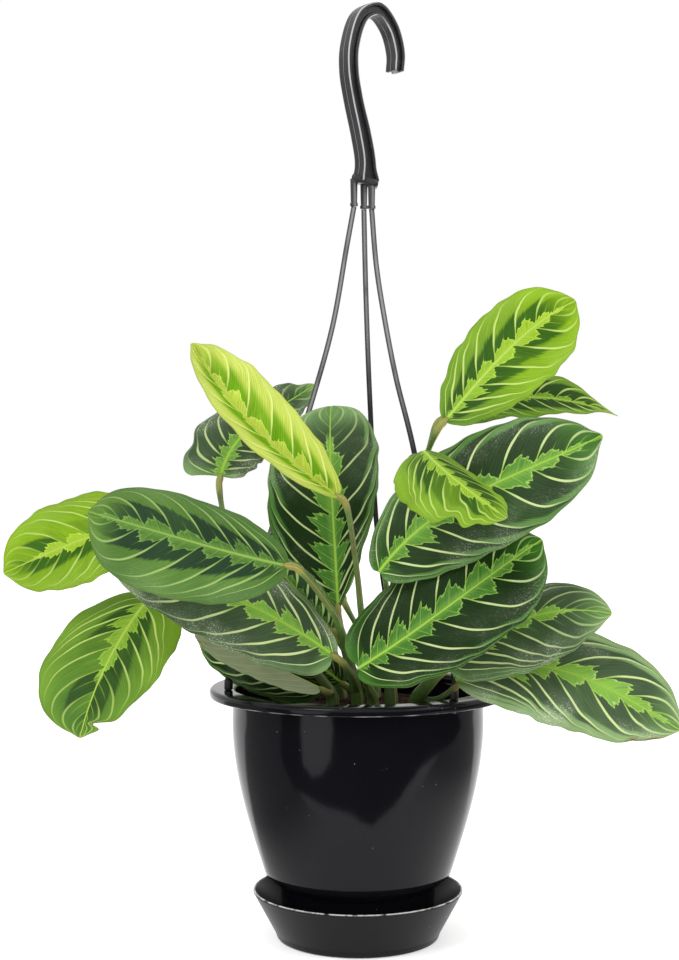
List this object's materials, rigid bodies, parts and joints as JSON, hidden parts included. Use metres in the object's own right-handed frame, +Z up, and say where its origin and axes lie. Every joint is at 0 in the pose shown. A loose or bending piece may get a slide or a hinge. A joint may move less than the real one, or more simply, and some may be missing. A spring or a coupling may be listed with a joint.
{
  "type": "potted hanging prayer plant",
  "caption": "Prayer plant with broad patterned leaves on thin stalks, in a round hanging pot with a rolled rim, a flared drip saucer, and a moulded hook hanger whose strands clip into the rim.",
  "frame": {"origin": "centre of the flat underside of the saucer", "axes": "+Z up through the pot, -Y towards the side the leaves face, +X to that side's right; the hook opens towards +X"},
  "size_m": [0.3543, 0.2403, 0.5202],
  "materials": {
    "gloss_black": "gloss",
    "satin_black": "matte",
    "hanger_grey": "satin",
    "soil": "matte",
    "stem": "satin",
    "lemon_leaf": "satin",
    "lime_leaf": "satin",
    "green_leaf": "satin",
    "dark_leaf": "satin"
  },
  "bodies": {
    "root": {"pot": "gloss_black", "saucer": "satin_black", "leaf_lemon": "lemon_leaf", "leaf_back_left": "dark_leaf", "leaf_far_left": "lime_leaf", "leaf_front_left": "green_leaf", "leaf_mid_left": "dark_leaf", "leaf_low_left": "lime_leaf", "leaf_rolled": "dark_leaf", "leaf_centre": "dark_leaf", "leaf_inner_left": "green_leaf", "leaf_small_lime": "lime_leaf", "leaf_top_right": "lime_leaf", "leaf_twisted": "green_leaf", "leaf_upper_right": "dark_leaf", "leaf_front_right": "dark_leaf", "leaf_mid_right": "dark_leaf", "leaf_low_right": "dark_leaf", "leaf_low_inner": "dark_leaf", "leaf_rear_right": "dark_leaf", "leaf_rear_left": "green_leaf", "leaf_rear_middle": "lime_leaf", "leaf_rear_low_right": "dark_leaf", "leaf_rear_low_left": "dark_leaf", "shoot_left": "stem", "shoot_lemon": "stem", "shoot_back_left": "stem", "shoot_low_left": "stem", "shoot_right": "stem", "shoot_front": "stem", "shoot_rim": "stem", "shoot_rear": "stem", "shoot_rear_left": "stem", "soil": "soil", "strand_left": "hanger_grey", "strand_right": "hanger_grey", "strand_back": "hanger_grey", "hanger_hook": "hanger_grey"}
  },
  "joints": []
}
